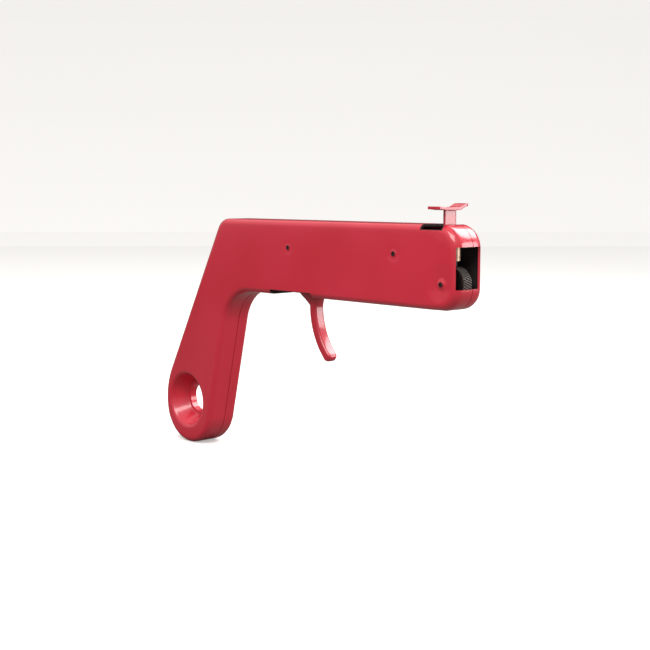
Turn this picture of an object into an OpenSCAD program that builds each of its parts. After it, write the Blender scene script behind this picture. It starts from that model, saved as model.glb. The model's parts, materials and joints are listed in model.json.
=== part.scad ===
// Pistol-shaped flint spark lighter for gas burners and torches, in mm.
// X forward to the muzzle, Y to the left side, Z up. The origin is the centre
// of the hanging hole, on the middle plane of the body.

/* [Overall] */
// hanging hole centre to the front of the muzzle
nose_x = 166.3; // [130:0.1:210]
// hanging hole centre to the top of the barrel
top_z = 85.2; // [70:0.1:110]
// barrel height
barrel_h = 31.5; // [30:0.1:40]
// body width over both side walls
body_w = 15.4; // [15.4:0.1:22]
// sheet steel thickness
sheet_t = 0.9; // [0.6:0.1:1.2]
// outside radius of the folded edges
bend_r = 2.4; // [1.6:0.1:3.5]
// height of the joint line above the middle plane, towards the left side
seam_y = 1.3; // [0:0.1:3]

/* [Outline] */
// lean of the front edge of the handle
front_lean = 13.6; // [5:0.1:25]
// lean of the rear edge of the handle
rear_lean = 29.2; // [20:0.1:40]
// radius of the lower end of the handle
end_r = 17.5; // [14:0.1:24]
// radius of the fold behind the lower end
blend_r = 30; // [25:0.5:60]
// radius of the corner under the barrel
fillet_r = 18; // [8:0.5:24]
// radius of the rear top corner
rear_r = 7.5; // [5:0.1:12]
// radius of the upper nose corner
nose_top_r = 9; // [5:0.1:12]
// radius of the lower nose corner
nose_low_r = 8; // [5:0.1:12]

/* [Hanging hole] */
// bore through the eyelet
hole_r = 6.4; // [4:0.1:8]
// radius of the dish at the side wall
dish_r = 12.8; // [9:0.1:14]

/* [Muzzle and slots] */
// solid front wall above the muzzle opening
muzzle_top = 8; // [6:0.1:12]
// solid front wall below the muzzle opening
muzzle_low = 8; // [6:0.1:12]
// top slot length
top_slot_l = 10; // [8:0.1:14]
// bottom slot length
low_slot_l = 25.5; // [22:0.1:34]
// depth of both slots below the edge
slot_d = 1.8; // [1:0.1:3]

/* [Spark drive] */
// spark wheel radius over its teeth
wheel_r = 6.4; // [5:0.1:6.6]
// spark wheel width
wheel_w = 5; // [3:0.1:6]
// spark wheel teeth
wheel_teeth = 40; // [24:1:48]
// tooth size of pinion and rack
module_mm = 0.5; // [0.4:0.05:0.6]
// pinion teeth
pinion_teeth = 14; // [12:1:16]
// trigger pivot to its drive pin
drive_arm = 10; // [8:0.1:12]
// trigger travel
pull_deg = 28; // [20:1:30]
// rack bar thickness
bar_t = 1.5; // [1:0.1:2]

/* [Trigger] */
// trigger width
trigger_w = 5; // [4:0.1:6]
// radius of the finger curve
finger_r = 28; // [20:0.5:40]
// blade thickness, front to back
blade_t = 3.9; // [3:0.1:5]

/* [Pins and fits] */
// radius of the three pins between the walls
pin_r = 1.5; // [1.2:0.1:2]
// radius of the riveted pin ends
tenon_r = 1.05; // [0.9:0.05:1.2]
// radius of the hole in each riveted end
rivet_hole_r = 0.65; // [0.4:0.05:0.7]
// radial clearance of turning fits
run_gap = 0.05; // [0.02:0.01:0.1]
// clearance of the rack bar in its guides
slide_gap = 0.1; // [0.05:0.01:0.2]

/* [Flint feed] */
// flint radius
flint_r = 1.5; // [1.2:0.1:1.6]
// flint tube wall
tube_t = 1; // [0.6:0.1:1.2]
// half width of the lifting handle
tee_half = 9; // [8:0.5:14]
// width of the flint lever strip
lever_w = 6.2; // [4:0.1:8]
// lever strip thickness
lever_t = 1.1; // [0.8:0.1:1.4]

/* [Hidden] */
eps = 0.01;
half_w = body_w / 2;
in_y = half_w - sheet_t;
bot_z = top_z - barrel_h;
in_top = top_z - sheet_t;
in_bot = bot_z + sheet_t;
seam_gap = 0.3;

// outline: every edge and arc follows from the sizes above
f_dir = [sin(front_lean), cos(front_lean)];
f_out = [cos(front_lean), -sin(front_lean)];
r_dir = [sin(rear_lean), cos(rear_lean)];
r_out = [-cos(rear_lean), sin(rear_lean)];
end_c = [0.8, -2.7];
end_to_rear = end_r + 2.4;
blend_up = sqrt(pow(blend_r - end_r, 2) - pow(blend_r - end_to_rear, 2));
blend_c = end_c + r_dir * blend_up - r_out * (blend_r - end_to_rear);
blend_turn = atan2(end_c[1] - blend_c[1], end_c[0] - blend_c[0]);
// the blend arc runs on this many degrees over the end arc, which it clears by a hair
lap = 3;
rear_cz = top_z - rear_r;
rear_k = (rear_cz - end_c[1] - r_out[1] * (end_to_rear - rear_r)) / r_dir[1];
rear_c = end_c + r_out * (end_to_rear - rear_r) + r_dir * rear_k;
nose_top_c = [nose_x - nose_top_r, top_z - nose_top_r];
nose_low_c = [nose_x - nose_low_r, bot_z + nose_low_r];
fil_cz = bot_z - fillet_r;
fil_k = (fil_cz - end_c[1] - f_out[1] * (end_r + fillet_r)) / f_dir[1];
fil_c = end_c + f_out * (end_r + fillet_r) + f_dir * fil_k;
f_ang = atan2(f_out[1], f_out[0]);
r_ang = atan2(r_out[1], r_out[0]);

// spark drive, measured from the nose, the barrel floor and the barrel top
pitch_r = module_mm * pinion_teeth / 2;
tooth_h = 0.8 * module_mm;
root_h = 1.2 * module_mm;
axle = [nose_x - wheel_r - 1.1, bot_z + wheel_r + 3.4];
rack_z = axle[1] - pitch_r;
pivot = [nose_x - 92.5, rack_z + drive_arm + 4];
half_pull = pull_deg / 2;
bar_travel = 2 * drive_arm * sin(half_pull);
drive_r = 1.2;
drive_at = pivot + drive_arm * [sin(half_pull), -cos(half_pull)];
bar_y0 = max(trigger_w, wheel_w) / 2 + 0.4;
bar_y1 = bar_y0 + bar_t;
bar_low = rack_z - 3;
bar_front = axle[0] + bar_travel + 0.9;
guide_top = bar_low - slide_gap;
tube_r = flint_r + 0.1 + tube_t;
tube_x = nose_x - 8.3;
tube_low = axle[1] + wheel_r + 2;
tube_top = top_z - 7.2;
flint_low = axle[1] + wheel_r + 0.08;
flint_top = tube_top - 0.6;
lever_pin = [nose_x - 31.6, top_z - 11.4];
eye_r = pin_r + 1.1;
tee_x = nose_x - 9.8;
slot_front = nose_x - 7.8;
low_slot_x = nose_x - 104.5;

red = [0.78, 0.12, 0.16];
steel = [0.7, 0.71, 0.73];
grey = [0.45, 0.42, 0.4];
brass = [0.8, 0.65, 0.35];

// a point at angle a on a circle round c
function on(c, r, a) = c + r * [cos(a), sin(a)];

// stand a flat (x, z) drawing up so its thickness runs from y0 to y1
module slab(y0, y1) {
  translate([0, y1, 0])
    rotate([90, 0, 0])
      linear_extrude(height = y1 - y0)
        children();
}

// a round bar along y
module bar_y(at, r, y0, y1) {
  translate([at[0], y1, at[1]])
    rotate([90, 0, 0])
      cylinder(r = r, h = y1 - y0, $fn = 96);
}

// a tube along y
module tube_y(at, r_out, r_in, y0, y1) {
  difference() {
    bar_y(at, r_out, y0, y1);
    bar_y(at, r_in, y0 - 1, y1 + 1);
  }
}

// a straight wire from p to q
module wire(p, q, r) {
  v = q - p;
  len = norm(v);
  translate(p)
    rotate([0, acos(v[2] / len), atan2(v[1], v[0])])
      cylinder(r = r, h = len, $fn = 24);
}

// flat outline of the body, moved inwards by s; every arc keeps its centre
module outline(s) {
  difference() {
    union() {
      polygon([
        on(end_c, end_r - s, f_ang),
        on(fil_c, fillet_r + s, 180 + f_ang),
        [fil_c[0], bot_z + s],
        [nose_low_c[0], bot_z + s],
        [nose_x - s, nose_low_c[1]],
        [nose_x - s, nose_top_c[1]],
        [nose_top_c[0], top_z - s],
        [rear_c[0], top_z - s],
        on(rear_c, rear_r - s, r_ang),
        on(blend_c, blend_r - s, r_ang),
        end_c - [10, 0]
      ]);
      translate(end_c)
        circle(r = end_r - s, $fn = 96);
      translate(nose_low_c)
        circle(r = nose_low_r - s, $fn = 96);
      translate(nose_top_c)
        circle(r = nose_top_r - s, $fn = 96);
      translate(rear_c)
        circle(r = rear_r - s, $fn = 96);
      intersection() {
        translate(blend_c)
          circle(r = blend_r - s, $fn = 96);
        polygon([
          blend_c,
          on(blend_c, blend_r * 1.1, r_ang),
          on(blend_c, blend_r * 1.1, (r_ang + blend_turn + 360) / 2),
          on(blend_c, blend_r * 1.1, blend_turn + lap)
        ]);
      }
    }
    translate(fil_c)
      circle(r = fillet_r + s, $fn = 96);
  }
}

// what a rounded edge takes away: x is the depth below the edge, y the width
module edge_cut() {
  at = bend_r - 0.02;
  difference() {
    translate([-3, -half_w - 3])
      square([3 + at, 3 + at]);
    translate([at, -half_w + at])
      circle(r = bend_r, $fn = 48);
  }
}

// rounds the straight edge from p to q; the body is on the left of that way
module round_line(p, q, before = 2, after = 2) {
  v = (q - p) / norm(q - p);
  start = p - before * v;
  translate([start[0], 0, start[1]])
    rotate([0, -atan2(v[1], v[0]), 0])
      rotate([90, 0, 90])
        linear_extrude(height = norm(q - p) + before + after)
          rotate(90)
            mirror([0, 1])
              edge_cut();
}

// rounds the edge of an arc round c from angle a0 to a1
module round_arc(c, r, a0, a1, hollow = false) {
  translate([c[0], 0, c[1]])
    rotate([90, 0, 0])
      rotate([0, 0, a0])
        rotate_extrude(angle = a1 - a0, $fn = 128)
          translate([r, 0])
            mirror([hollow ? 0 : 1, 0])
              mirror([0, 1])
                edge_cut();
}

// one half of the body: side wall at -y, rim up to y_end. At the outer corners
// the straight cuts run on past the tangent points and the arcs start later. At
// the hollow corner a hair of metal is left between two cuts.
module half_body(y_end) {
  skip = 3;
  part = 0.08;
  difference() {
    slab(-half_w, y_end)
      outline(0);
    slab(-in_y + 0.6, y_end + 1)
      outline(sheet_t);
    slab(-in_y, y_end)
      outline(sheet_t + 0.6);
    round_line(on(fil_c, fillet_r, 90), on(nose_low_c, nose_low_r, -90), -0.02, 2);
    round_arc(nose_low_c, nose_low_r, skip - 90, -skip);
    round_line(on(nose_low_c, nose_low_r, 0), on(nose_top_c, nose_top_r, 0));
    round_arc(nose_top_c, nose_top_r, skip, 90 - skip);
    round_line(on(nose_top_c, nose_top_r, 90), on(rear_c, rear_r, 90));
    round_arc(rear_c, rear_r, 90 + skip, r_ang - skip);
    round_line(on(rear_c, rear_r, r_ang), on(blend_c, blend_r, r_ang));
    round_arc(blend_c, blend_r, r_ang + skip, blend_turn + 360 + lap - part);
    round_arc(end_c, end_r, blend_turn + lap * blend_r / end_r + part, f_ang - skip);
    round_line(on(end_c, end_r, f_ang), on(fil_c, fillet_r, 180 + f_ang), 2, -0.02);
    round_arc(fil_c, fillet_r, 90 + part, 180 + f_ang - part, true);
  }
}

// side wall at -y with its dish, rivet holes, slots and muzzle opening
module shell(y_end) {
  dish_y = y_end - sheet_t;
  floor_r = hole_r + 2;
  difference() {
    union() {
      difference() {
        half_body(y_end);
        bar_y([0, 0], dish_r - eps, -half_w - 1, -half_w + sheet_t + 1);
      }
      // conical wall and flat floor of the dish
      translate([0, -half_w, 0])
        rotate([-90, 0, 0])
          rotate_extrude($fn = 128)
            polygon([
              [dish_r, 0],
              [dish_r, sheet_t],
              [floor_r, dish_y + half_w + sheet_t],
              [hole_r + 0.6, dish_y + half_w + sheet_t],
              [hole_r + 0.6, dish_y + half_w],
              [floor_r - 0.6, dish_y + half_w],
              [dish_r - sheet_t, 0]
            ]);
    }
    // rivet holes
    for (at = [pivot, lever_pin, axle])
      bar_y(at, tenon_r, -half_w - 1, -half_w + 2);
    // muzzle opening, as wide as the inside of the body
    translate([nose_x - 3, -in_y, bot_z + muzzle_low])
      cube([4, body_w, barrel_h - muzzle_low - muzzle_top]);
    // top and bottom slots, right across
    translate([slot_front - top_slot_l, -body_w, top_z - slot_d])
      cube([top_slot_l, 2 * body_w, slot_d + 1]);
    translate([low_slot_x, -body_w, bot_z - 1])
      cube([low_slot_l, 2 * body_w, slot_d + 1]);
  }
}

module right_shell() {
  color(red)
    shell(seam_y - seam_gap / 2);
}

module left_shell() {
  color(red)
    mirror([0, 1, 0])
      shell(-seam_y - seam_gap / 2);
}

// rolled eyelet that clamps the two dish floors together
module hang_eyelet() {
  y0 = seam_y - seam_gap / 2 - sheet_t;
  y1 = seam_y + seam_gap / 2 + sheet_t;
  color(red)
    translate([0, y0, 0])
      rotate([-90, 0, 0])
        rotate_extrude($fn = 128)
          polygon([
            [hole_r, -0.5],
            [hole_r + 1.3, -0.5],
            [hole_r + 1.3, 0],
            [hole_r + 0.6, 0],
            [hole_r + 0.6, y1 - y0],
            [hole_r + 1.3, y1 - y0],
            [hole_r + 1.3, y1 - y0 + 0.5],
            [hole_r, y1 - y0 + 0.5]
          ]);
}

// shouldered pin: thick between the walls, thin through them, with its drilled
// ends spread into low round heads outside
module rivet_pin(at) {
  hole_y = half_w - 1.4;
  color(steel)
    difference() {
      union() {
        bar_y(at, pin_r, -in_y, in_y);
        bar_y(at, tenon_r, -half_w, half_w);
        for (side = [-1, 1])
          intersection() {
            translate([at[0], side * (half_w - 1.9), at[1]])
              sphere(r = 2.3, $fn = 64);
            bar_y(at, 3, side > 0 ? half_w : -half_w - 1, side > 0 ? half_w + 1 : -half_w);
          }
      }
      bar_y(at, rivet_hole_r, hole_y, half_w + 2);
      bar_y(at, rivet_hole_r, -half_w - 2, -hole_y);
    }
}

module trigger_pin() {
  rivet_pin(pivot);
}

module lever_pin_rivet() {
  rivet_pin(lever_pin);
}

module wheel_axle() {
  rivet_pin(axle);
}

// plain distance tubes pressed on the pins
module trigger_spacer_right() {
  color(steel)
    tube_y(pivot, pin_r + 1, pin_r, -in_y, -trigger_w / 2 - 0.6);
}

module trigger_spacer_left() {
  color(steel)
    tube_y(pivot, pin_r + 1, pin_r, trigger_w / 2 + 0.6, in_y);
}

module lever_spacer_right() {
  color(steel)
    tube_y(lever_pin, pin_r + 0.8, pin_r, -in_y, -lever_w / 2 - 0.15);
}

module lever_spacer_left() {
  color(steel)
    tube_y(lever_pin, pin_r + 0.8, pin_r, lever_w / 2 + 0.15, in_y);
}

module wheel_spacer_right() {
  color(steel)
    tube_y(axle, pin_r + 1, pin_r, -in_y, -wheel_w / 2 - 0.15);
}

module wheel_spacer_left() {
  color(steel)
    tube_y(axle, pin_r + 1, pin_r, bar_y1 + 0.45, in_y);
}

module flint_tube() {
  color(brass)
    translate([tube_x, 0, tube_low])
      difference() {
        cylinder(r = tube_r, h = tube_top - tube_low, $fn = 96);
        translate([0, 0, -1])
          cylinder(r = tube_r - tube_t, h = tube_top - tube_low + 2, $fn = 96);
      }
}

// upright plate behind the flint tube, with a foot on each side wall
module flint_bracket() {
  x1 = tube_x - tube_r + 0.6;
  z0 = tube_low + 1.1;
  color(steel)
    difference() {
      union() {
        translate([x1 - 1.4, -in_y, z0])
          cube([1.4, 2 * in_y, tube_top - z0]);
        for (y = [-in_y, in_y - 1])
          translate([x1 - 5.4, y, z0])
            cube([5, 1, 4]);
      }
      translate([tube_x, 0, z0 - 1])
        cylinder(r = tube_r, h = tube_top, $fn = 96);
    }
}

module flint() {
  color([0.32, 0.31, 0.3])
    translate([tube_x, 0, flint_low])
      cylinder(r = flint_r, h = flint_top - flint_low, $fn = 64);
}

// floor block with two lips that steer the rack bar
module bar_guide(x0, x1) {
  color(steel)
    difference() {
      translate([x0, bar_y0 - slide_gap - 0.8, in_bot])
        cube([x1 - x0, bar_t + 2 * slide_gap + 1.6, bar_low + 2 - in_bot]);
      translate([x0 - 1, bar_y0 - slide_gap, guide_top])
        cube([x1 - x0 + 2, bar_t + 2 * slide_gap, 10]);
    }
}

module rear_guide() {
  bar_guide(pivot[0] + 20, pivot[0] + 32);
}

module front_guide() {
  bar_guide(lever_pin[0] + 1.5, lever_pin[0] + 12);
}

// close coils of a torsion spring: one turned body with a groove between turns
module coil(at, r, wire_r, y0, turns) {
  translate([at[0], y0, at[1]])
    rotate([-90, 0, 0])
      rotate_extrude($fn = 96)
        for (i = [0 : turns - 1])
          translate([r, wire_r + i * wire_r * 1.8])
            circle(r = wire_r, $fn = 24);
}

// spring leg from the coil at angle a to the end point, a little thinner so
// that it joins the coil cleanly
module leg(at, r, a, y, end, wire_r) {
  p = on(at, r, a);
  wire([p[0], y, p[1]], [end[0], y, end[1]], 0.86 * wire_r);
}

module elbow(at, y, wire_r) {
  translate([at[0], y, at[1]])
    sphere(r = 1.1 * wire_r, $fn = 24);
}

module trigger_spring() {
  w = 0.35;
  r = pin_r + 1 + w + 0.15;
  y0 = -trigger_w / 2 - 3.6;
  y_in = y0 + w + 3 * w * 1.8;
  back = pivot + [-5.3, -12];
  color(grey) {
    coil(pivot, r, w, y0, 4);
    leg(pivot, r, 215, y_in, back, w);
    elbow(back, y_in, w);
    wire([back[0], y_in, back[1]], [back[0], 0, back[1]], 0.86 * w);
    leg(pivot, r, 140, y0 + w, [pivot[0] - 10, in_top - w - 0.05], w);
  }
}

module lever_spring() {
  w = 0.3;
  r = pin_r + 0.8 + w + 0.1;
  y0 = lever_w / 2 + 1.2;
  hold = lever_pin + [9, 5.9];
  color(grey) {
    coil(lever_pin, r, w, y0, 3);
    leg(lever_pin, r, 240, y0 + w + 2 * w * 1.8, [lever_pin[0] + 1.1, bar_low + 1], w);
    leg(lever_pin, r, 60, y0 + w, hold, w);
    elbow(hold, y0 + w, w);
    wire([hold[0], y0 + w, hold[1]], [hold[0], 1, hold[1]], 0.86 * w);
  }
}

// finger curve centre, level with the top of the free blade
finger_c = [pivot[0] + 39.2, bot_z - 3.7];
blade_end = 224;
blade_mid = finger_r + blade_t / 2;

// trigger: hub, neck through the slot and curved finger blade
module trigger_profile() {
  translate(pivot)
    circle(r = 5.4, $fn = 96);
  polygon([
    [pivot[0] + 5.4, pivot[1]],
    [pivot[0] - 5.4, pivot[1]],
    [pivot[0] - 4.4, pivot[1] - 10],
    [pivot[0] - 2.4, bot_z + 4.2],
    [pivot[0] + 0.8, bot_z + 1.2],
    [pivot[0] + 4.2, bot_z - 1.4],
    [finger_c[0] - finger_r - blade_t, finger_c[1]],
    [finger_c[0] - finger_r, finger_c[1]],
    [pivot[0] + 12.4, bot_z + 3],
    [pivot[0] + 10.4, pivot[1] - 8]
  ]);
  intersection() {
    translate(finger_c)
      difference() {
        circle(r = finger_r + blade_t, $fn = 160);
        circle(r = finger_r, $fn = 160);
      }
    polygon([
      finger_c,
      on(finger_c, 60, 180),
      on(finger_c, 60, 205),
      on(finger_c, 60, blade_end)
    ]);
  }
  translate(on(finger_c, blade_mid, blade_end))
    circle(r = blade_t / 2, $fn = 48);
}

module trigger_blade() {
  color(red)
    difference() {
      slab(-trigger_w / 2, trigger_w / 2)
        trigger_profile();
      bar_y(pivot, pin_r + 0.9, -9, 9);
      bar_y(drive_at, drive_r, -9, 9);
    }
}

module trigger_bush() {
  color(brass)
    tube_y(pivot, pin_r + 0.9, pin_r + run_gap, -trigger_w / 2 - 0.3, trigger_w / 2 + 0.3);
}

module drive_pin() {
  color(steel)
    bar_y(drive_at, drive_r, -trigger_w / 2, bar_y1 + 0.4);
}

// rack tooth space lines up with a pinion tooth at the axle
module rack_teeth() {
  pitch = PI * module_mm;
  slope = tan(20);
  half = pitch / 4 - 0.04;
  n0 = -2;
  n1 = ceil((bar_travel + 0.2) / pitch);
  for (i = [n0 : n1 - 1])
    translate([axle[0] + (i + 0.5) * pitch, rack_z])
      polygon([
        [-half - root_h * slope, -root_h - eps],
        [half + root_h * slope, -root_h - eps],
        [half - tooth_h * slope, tooth_h],
        [-half + tooth_h * slope, tooth_h]
      ]);
}

// sliding bar: slotted head behind, rack in front; its toe clears the nose corner
module rack_bar() {
  head = 6;
  toe = 2.2;
  slot_c = drive_at + [0, -drive_arm * (1 - cos(half_pull)) / 2];
  slot_half = drive_arm * (1 - cos(half_pull)) / 2 + 0.15;
  slot_r = drive_r + run_gap;
  color(steel)
    slab(bar_y0, bar_y1)
      difference() {
        union() {
          polygon([
            [drive_at[0] - head, bar_low],
            [bar_front - toe, bar_low],
            [bar_front, bar_low + toe],
            [bar_front, rack_z - root_h],
            [drive_at[0] + head + 2.5, rack_z - root_h],
            [drive_at[0] + head, rack_z + 2],
            [drive_at[0] + head, drive_at[1] + 3],
            [drive_at[0] - head, drive_at[1] + 3]
          ]);
          rack_teeth();
        }
        for (s = [-1, 1])
          translate(slot_c + [0, s * slot_half])
            circle(r = slot_r, $fn = 48);
        translate(slot_c - [slot_r, slot_half])
          square([2 * slot_r, 2 * slot_half]);
      }
}

module spark_wheel() {
  step = 360 / wheel_teeth;
  color(grey)
    difference() {
      slab(-wheel_w / 2, wheel_w / 2)
        translate(axle)
          polygon([
            for (i = [0 : wheel_teeth - 1])
              for (k = [0, 1])
                (wheel_r - k * 0.35) * [cos((i - k * 0.75) * -step), sin((i - k * 0.75) * -step)]
          ]);
      bar_y(axle, pin_r + run_gap, -9, 9);
    }
}

// involute angle, in degrees, at radius r
base_r = pitch_r * cos(20);
function inv(r) = let (a = acos(base_r / r)) tan(a) * 180 / PI - a;
half_tooth = 90 / pinion_teeth - 0.04 / pitch_r * 180 / PI;
function flank(r) = half_tooth + inv(pitch_r) - inv(max(r, base_r));

module wheel_pinion() {
  rs = [for (k = [0 : 3]) base_r + k * (pitch_r + tooth_h - base_r) / 3];
  tooth = concat(
    [[pitch_r - root_h, -flank(base_r)]],
    [for (r = rs) [r, -flank(r)]],
    [for (k = [3 : -1 : 0]) [rs[k], flank(rs[k])]],
    [[pitch_r - root_h, flank(base_r)]]
  );
  color(steel)
    difference() {
      slab(wheel_w / 2, bar_y1 + 0.2)
        translate(axle)
          polygon([
            for (i = [0 : pinion_teeth - 1])
              for (t = tooth)
                on([0, 0], t[0], -90 + i * 360 / pinion_teeth + t[1])
          ]);
      bar_y(axle, pin_r + run_gap, -9, 9);
    }
}

// sloping lever strip from the pin to the flint tube
lever_tip = tube_x + 1.2;
lever_top = tube_top + 1.7;
module flint_lever() {
  a = lever_pin + [0, eye_r];
  flat = tube_x - 6.6;
  color(steel)
    difference() {
      slab(-lever_w / 2, lever_w / 2)
        union() {
          translate(lever_pin)
            circle(r = eye_r, $fn = 64);
          polygon([
            a,
            a - [0, 1.6 * lever_t],
            [flat + 0.3, lever_top - lever_t],
            [lever_tip, lever_top - lever_t],
            [lever_tip, lever_top],
            [flat, lever_top]
          ]);
        }
      bar_y(lever_pin, pin_r + run_gap, -9, 9);
    }
}

// upright strip with a foot behind and a finger plate whose far wing is raised
module tee_strip() {
  tee_z = top_z + 5.2;
  foot = 4.6;
  color(red)
    union() {
      translate([tee_x - foot, -lever_w / 2, lever_top])
        cube([foot, lever_w, 0.9]);
      translate([tee_x - lever_t, -lever_w / 2, lever_top])
        cube([lever_t, lever_w, tee_z + 0.6 - lever_top]);
      translate([tee_x - 4.3, 0, tee_z])
        rotate([90, 0, 90])
          linear_extrude(height = 5.8)
            polygon([
              [-lever_w / 2, 0],
              [lever_w / 2, 0],
              [tee_half - 1.5, 1.4],
              [tee_half, 1.5],
              [tee_half, 1.5 + lever_t],
              [tee_half - 1.8, 1.4 + lever_t],
              [lever_w / 2 - 0.2, lever_t],
              [0.2 - lever_w / 2, lever_t],
              [-tee_half, 0.4 + lever_t],
              [-tee_half, 0.4]
            ]);
    }
}

// two flat rivets that hold the foot of the tee strip on the lever
module tee_rivets() {
  color(steel)
    for (y = [-1.7, 1.7])
      translate([tee_x - 2.8, y, lever_top + 0.9])
        cylinder(r = 0.8, h = 0.4, $fn = 32);
}

module flint_plunger() {
  color(brass)
    translate([tube_x, 0, flint_top + 0.05])
      cylinder(r = flint_r - 0.1, h = lever_top - lever_t - flint_top - 0.05, $fn = 64);
}

right_shell();
left_shell();
hang_eyelet();
trigger_pin();
lever_pin_rivet();
wheel_axle();
trigger_spacer_right();
trigger_spacer_left();
lever_spacer_right();
lever_spacer_left();
wheel_spacer_right();
wheel_spacer_left();
flint_tube();
flint_bracket();
flint();
rear_guide();
front_guide();
trigger_spring();
lever_spring();
trigger_blade();
trigger_bush();
drive_pin();
rack_bar();
spark_wheel();
wheel_pinion();
flint_lever();
tee_strip();
tee_rivets();
flint_plunger();
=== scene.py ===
# %% [markdown]
# # A flint spark lighter in folded, enamelled steel
# The real object is two shallow trays of 0.9 mm sheet steel, closed face to face, dipped in red
# enamel. A trigger pushes a toothed bar, the bar spins a hardened wheel, and the wheel scrapes a
# flint behind the muzzle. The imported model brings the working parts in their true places. This
# notebook gives them their finishes and makes again, as finer surfaces, what the eye rests on.

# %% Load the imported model
import json
from math import acos, asin, cos, degrees, hypot, pi, radians, sin

import bmesh
import bpy
import numpy as np
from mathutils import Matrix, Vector
from mathutils.geometry import delaunay_2d_cdt


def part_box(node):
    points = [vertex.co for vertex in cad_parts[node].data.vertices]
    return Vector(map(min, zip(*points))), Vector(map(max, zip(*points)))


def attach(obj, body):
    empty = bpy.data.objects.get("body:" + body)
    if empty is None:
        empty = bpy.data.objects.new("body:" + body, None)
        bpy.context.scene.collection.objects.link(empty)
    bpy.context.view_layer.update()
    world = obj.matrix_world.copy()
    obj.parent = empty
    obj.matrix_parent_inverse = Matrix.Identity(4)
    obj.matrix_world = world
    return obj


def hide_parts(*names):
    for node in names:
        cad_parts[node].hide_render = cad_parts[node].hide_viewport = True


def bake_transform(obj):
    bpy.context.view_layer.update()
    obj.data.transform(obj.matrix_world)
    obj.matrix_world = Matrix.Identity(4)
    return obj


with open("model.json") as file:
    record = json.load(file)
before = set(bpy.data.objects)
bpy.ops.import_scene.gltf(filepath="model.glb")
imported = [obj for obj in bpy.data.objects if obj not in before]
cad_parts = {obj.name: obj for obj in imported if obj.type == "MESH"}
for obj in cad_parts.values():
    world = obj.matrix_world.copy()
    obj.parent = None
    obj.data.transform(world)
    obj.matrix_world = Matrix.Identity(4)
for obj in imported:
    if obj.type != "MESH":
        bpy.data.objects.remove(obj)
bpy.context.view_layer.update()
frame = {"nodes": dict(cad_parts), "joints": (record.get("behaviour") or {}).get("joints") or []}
nodes = frame["nodes"]
MM = 0.001

# %% [markdown]
# ## Where things are
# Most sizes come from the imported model: the box of a node gives its faces, and a joint gives its
# axis. Reading them keeps the finer surfaces on the parts they stand for. The sheet, the barrel's
# height and the slots can't be read from a box, so they are named here, in millimetres.

# %% Sizes and places, in millimetres
joint_at = {j["name"]: np.array(j["pos_m"]) / MM for j in frame["joints"] if "pos_m" in j}


def box_mm(node):
    """The lowest and highest corner of a node, in millimetres."""
    low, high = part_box(node)
    return np.array(low) / MM, np.array(high) / MM


shell_low, shell_high = box_mm("right_shell")
left_low, _ = box_mm("left_shell")
nose_x, top_z, foot_z = shell_high[0], shell_high[2], shell_low[2]
half_w = -shell_low[1]
sheet = 0.9
seam_right, seam_left = shell_high[1], left_low[1]
pivot = joint_at["trigger_pull"][[0, 2]]
axle = joint_at["wheel_spin"][[0, 2]]
lever_pin = joint_at["flint_arm_lift"][[0, 2]]
barrel_h = 31.5
bot_z = top_z - barrel_h
# where the muzzle opening and the slots start and stop
MUZZLE = (bot_z + 8, top_z - 8)
TOP_SLOT = (nose_x - 17.8, nose_x - 7.8)
LOW_SLOT = (nose_x - 104.5, nose_x - 79)
SLOT_DEEP = 1.8
print("body", np.round(shell_high - shell_low, 1), "mm, muzzle at x =", round(nose_x, 1))

# %% [markdown]
# ## Camera, light and floor
# A spark lighter is a small thing, so it is shown as a catalogue shows it: from the muzzle end,
# a little above, on a white sweep. A long lens keeps the two ends of the barrel nearly the same
# height. The view is set as a place and a direction, which is easier to read than three angles.

# %% The camera
VIEW_FROM = Vector((0.4371, -0.3205, 0.0973))
VIEW_ALONG = Vector((-0.7315, 0.6720, -0.1157))
camera = bpy.data.objects.new("camera", bpy.data.cameras.new("camera"))
camera.data.lens = 63.69
camera.data.sensor_width = 36
camera.data.clip_start = 0.01
camera.location = VIEW_FROM
camera.rotation_euler = VIEW_ALONG.to_track_quat("-Z", "Y").to_euler()
bpy.context.scene.collection.objects.link(camera)
bpy.context.scene.camera = camera
bpy.context.scene.view_settings.view_transform = "Standard"
print("lens", camera.data.lens, "mm,", round(VIEW_FROM.length, 2), "m from the hanging hole")

# %% [markdown]
# ## Helpers for materials
# Blender keeps a material as a tree of nodes. Each node could be set by hand in some lines, but
# one small function that adds a node with its settings and links keeps every finish short enough
# to read. Colours are written as the hex values a paint maker gives, and one function makes them
# linear, because shaders count light and not screen values.

# %% Colours and shader nodes
def srgb(hexa):
    """An sRGB hex colour, such as "c93942", as the linear colour that shaders want."""
    parts = [int(hexa[k:k + 2], 16) / 255 for k in (0, 2, 4)]
    return [c / 12.92 if c <= 0.04045 else ((c + 0.055) / 1.055) ** 2.4 for c in parts] + [1.0]


def add(tree, kind, links=(), **settings):
    """Adds one shader node. Settings name its properties or inputs, and a link is
    (input of this node, output socket of another)."""
    made = tree.nodes.new("ShaderNode" + kind)
    for name, value in settings.items():
        if hasattr(made, name):
            setattr(made, name, value)
        else:
            made.inputs[name.replace("_", " ")].default_value = value
    for slot_name, source in links:
        tree.links.new(source, made.inputs[slot_name])
    return made


def new_material(name):
    """An empty material: its tree, its output node and object coordinates in millimetres."""
    made = bpy.data.materials.new(name)
    made.use_nodes = True
    tree = made.node_tree
    tree.nodes.clear()
    place = add(tree, "TexCoord").outputs["Object"]
    scaled = add(tree, "VectorMath", [(0, place)], operation="SCALE", Scale=1 / MM)
    return made, tree, scaled.outputs[0]


def finish_material(tree, surface):
    """Joins the last shader to the material's output."""
    add(tree, "OutputMaterial", [("Surface", surface)])


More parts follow.
